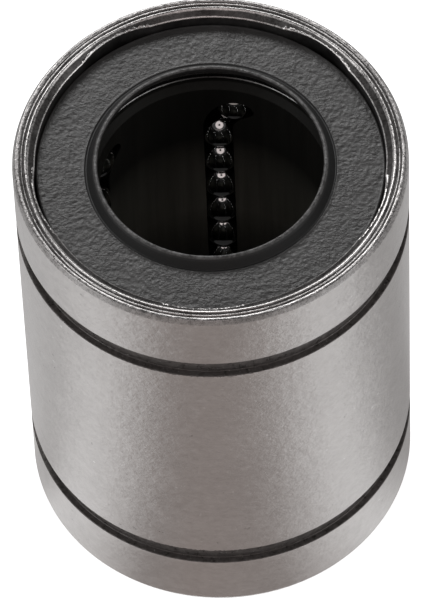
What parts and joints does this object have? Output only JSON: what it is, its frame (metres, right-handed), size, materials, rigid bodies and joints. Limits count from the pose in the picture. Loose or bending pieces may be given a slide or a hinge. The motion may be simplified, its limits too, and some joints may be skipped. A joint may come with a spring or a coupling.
{
  "type": "linear ball bushing",
  "caption": "Closed cylindrical linear ball bushing: ground steel sleeve with retaining-ring grooves, rubber shaft seals and recirculating ball circuits.",
  "frame": {"origin": "centre of the bore, halfway along the sleeve", "axes": "+Z along the bore; the first load row of balls lies 85.5 degrees from +X towards +Y"},
  "size_m": [0.028, 0.028, 0.037],
  "materials": {
    "ground_steel": "cylindrically ground, satin, with oiled dark grooves",
    "ring_steel": "pressed bright steel",
    "core_steel": "plain pressed steel",
    "retainer_plastic": "moulded, slightly oily",
    "seal_rubber": "finely pebbled moulded face",
    "ball_steel": "polished bearing steel"
  },
  "bodies": {
    "bushing": {"outer_sleeve": "ground_steel", "ball_retainer": "retainer_plastic", "upper_end_ring": "ring_steel", "lower_end_ring": "ring_steel", "upper_seal_core": "core_steel", "lower_seal_core": "core_steel", "upper_seal_lip": "seal_rubber", "lower_seal_lip": "seal_rubber"},
    "circuit_1_load_balls_body": {"circuit_1_load_balls": "ball_steel"},
    "circuit_1_return_balls_body": {"circuit_1_return_balls": "ball_steel"},
    "circuit_1_upper_turn_balls_body": {"circuit_1_upper_turn_balls": "ball_steel"},
    "circuit_1_lower_turn_balls_body": {"circuit_1_lower_turn_balls": "ball_steel"},
    "circuit_2_load_balls_body": {"circuit_2_load_balls": "ball_steel"},
    "circuit_2_return_balls_body": {"circuit_2_return_balls": "ball_steel"},
    "circuit_2_upper_turn_balls_body": {"circuit_2_upper_turn_balls": "ball_steel"},
    "circuit_2_lower_turn_balls_body": {"circuit_2_lower_turn_balls": "ball_steel"},
    "circuit_3_load_balls_body": {"circuit_3_load_balls": "ball_steel"},
    "circuit_3_return_balls_body": {"circuit_3_return_balls": "ball_steel"},
    "circuit_3_upper_turn_balls_body": {"circuit_3_upper_turn_balls": "ball_steel"},
    "circuit_3_lower_turn_balls_body": {"circuit_3_lower_turn_balls": "ball_steel"},
    "circuit_4_load_balls_body": {"circuit_4_load_balls": "ball_steel"},
    "circuit_4_return_balls_body": {"circuit_4_return_balls": "ball_steel"},
    "circuit_4_upper_turn_balls_body": {"circuit_4_upper_turn_balls": "ball_steel"},
    "circuit_4_lower_turn_balls_body": {"circuit_4_lower_turn_balls": "ball_steel"},
    "circuit_5_load_balls_body": {"circuit_5_load_balls": "ball_steel"},
    "circuit_5_return_balls_body": {"circuit_5_return_balls": "ball_steel"},
    "circuit_5_upper_turn_balls_body": {"circuit_5_upper_turn_balls": "ball_steel"},
    "circuit_5_lower_turn_balls_body": {"circuit_5_lower_turn_balls": "ball_steel"}
  },
  "joints": [
    {"name": "circuit_1_load_travel", "type": "slide", "parent": "bushing", "child": "circuit_1_load_balls_body", "axis": [0, 0, 1], "range_m": [-0.0017, 0.0015]},
    {"name": "circuit_1_return_travel", "type": "slide", "parent": "bushing", "child": "circuit_1_return_balls_body", "axis": [0, 0, 1], "range_m": [-0.0015, 0.0017]},
    {"name": "circuit_1_upper_turn", "type": "hinge", "parent": "bushing", "child": "circuit_1_upper_turn_balls_body", "pos_m": [0.00321, 0.0094, 0.01007], "axis": [0.0623, 0.9981, 0], "range_deg": [-39.55, 34.9]},
    {"name": "circuit_1_lower_turn", "type": "hinge", "parent": "bushing", "child": "circuit_1_lower_turn_balls_body", "pos_m": [0.00321, 0.0094, -0.01007], "axis": [0.0623, 0.9981, 0], "range_deg": [-39.55, 34.9]},
    {"name": "circuit_2_load_travel", "type": "slide", "parent": "bushing", "child": "circuit_2_load_balls_body", "axis": [0, 0, 1], "range_m": [-0.0017, 0.0015]},
    {"name": "circuit_2_return_travel", "type": "slide", "parent": "bushing", "child": "circuit_2_return_balls_body", "axis": [0, 0, 1], "range_m": [-0.0015, 0.0017]},
    {"name": "circuit_2_upper_turn", "type": "hinge", "parent": "bushing", "child": "circuit_2_upper_turn_balls_body", "pos_m": [-0.00795, 0.00596, 0.01007], "axis": [-0.93, 0.3676, 0], "range_deg": [-39.55, 34.9]},
    {"name": "circuit_2_lower_turn", "type": "hinge", "parent": "bushing", "child": "circuit_2_lower_turn_balls_body", "pos_m": [-0.00795, 0.00596, -0.01007], "axis": [-0.93, 0.3676, 0], "range_deg": [-39.55, 34.9]},
    {"name": "circuit_3_load_travel", "type": "slide", "parent": "bushing", "child": "circuit_3_load_balls_body", "axis": [0, 0, 1], "range_m": [-0.0017, 0.0015]},
    {"name": "circuit_3_return_travel", "type": "slide", "parent": "bushing", "child": "circuit_3_return_balls_body", "axis": [0, 0, 1], "range_m": [-0.0015, 0.0017]},
    {"name": "circuit_3_upper_turn", "type": "hinge", "parent": "bushing", "child": "circuit_3_upper_turn_balls_body", "pos_m": [-0.00813, -0.00572, 0.01007], "axis": [-0.637, -0.7708, 0], "range_deg": [-39.55, 34.9]},
    {"name": "circuit_3_lower_turn", "type": "hinge", "parent": "bushing", "child": "circuit_3_lower_turn_balls_body", "pos_m": [-0.00813, -0.00572, -0.01007], "axis": [-0.637, -0.7708, 0], "range_deg": [-39.55, 34.9]},
    {"name": "circuit_4_load_travel", "type": "slide", "parent": "bushing", "child": "circuit_4_load_balls_body", "axis": [0, 0, 1], "range_m": [-0.0017, 0.0015]},
    {"name": "circuit_4_return_travel", "type": "slide", "parent": "bushing", "child": "circuit_4_return_balls_body", "axis": [0, 0, 1], "range_m": [-0.0015, 0.0017]},
    {"name": "circuit_4_upper_turn", "type": "hinge", "parent": "bushing", "child": "circuit_4_upper_turn_balls_body", "pos_m": [0.00293, -0.0095, 0.01007], "axis": [0.5363, -0.8441, 0], "range_deg": [-39.55, 34.9]},
    {"name": "circuit_4_lower_turn", "type": "hinge", "parent": "bushing", "child": "circuit_4_lower_turn_balls_body", "pos_m": [0.00293, -0.0095, -0.01007], "axis": [0.5363, -0.8441, 0], "range_deg": [-39.55, 34.9]},
    {"name": "circuit_5_load_travel", "type": "slide", "parent": "bushing", "child": "circuit_5_load_balls_body", "axis": [0, 0, 1], "range_m": [-0.0017, 0.0015]},
    {"name": "circuit_5_return_travel", "type": "slide", "parent": "bushing", "child": "circuit_5_return_balls_body", "axis": [0, 0, 1], "range_m": [-0.0015, 0.0017]},
    {"name": "circuit_5_upper_turn", "type": "hinge", "parent": "bushing", "child": "circuit_5_upper_turn_balls_body", "pos_m": [0.00994, -0.00015, 0.01007], "axis": [0.9685, 0.2492, 0], "range_deg": [-39.55, 34.9]},
    {"name": "circuit_5_lower_turn", "type": "hinge", "parent": "bushing", "child": "circuit_5_lower_turn_balls_body", "pos_m": [0.00994, -0.00015, -0.01007], "axis": [0.9685, 0.2492, 0], "range_deg": [-39.55, 34.9]}
  ],
  "couplings": [
    {"joint": "circuit_1_return_travel", "follows": "circuit_1_load_travel", "ratio": -1},
    {"joint": "circuit_1_upper_turn", "follows": "circuit_1_load_travel", "rad_per_m": 405.97},
    {"joint": "circuit_1_lower_turn", "follows": "circuit_1_load_travel", "rad_per_m": 405.97},
    {"joint": "circuit_2_return_travel", "follows": "circuit_2_load_travel", "ratio": -1},
    {"joint": "circuit_2_upper_turn", "follows": "circuit_2_load_travel", "rad_per_m": 405.97},
    {"joint": "circuit_2_lower_turn", "follows": "circuit_2_load_travel", "rad_per_m": 405.97},
    {"joint": "circuit_3_return_travel", "follows": "circuit_3_load_travel", "ratio": -1},
    {"joint": "circuit_3_upper_turn", "follows": "circuit_3_load_travel", "rad_per_m": 405.97},
    {"joint": "circuit_3_lower_turn", "follows": "circuit_3_load_travel", "rad_per_m": 405.97},
    {"joint": "circuit_4_return_travel", "follows": "circuit_4_load_travel", "ratio": -1},
    {"joint": "circuit_4_upper_turn", "follows": "circuit_4_load_travel", "rad_per_m": 405.97},
    {"joint": "circuit_4_lower_turn", "follows": "circuit_4_load_travel", "rad_per_m": 405.97},
    {"joint": "circuit_5_return_travel", "follows": "circuit_5_load_travel", "ratio": -1},
    {"joint": "circuit_5_upper_turn", "follows": "circuit_5_load_travel", "rad_per_m": 405.97},
    {"joint": "circuit_5_lower_turn", "follows": "circuit_5_load_travel", "rad_per_m": 405.97}
  ]
}
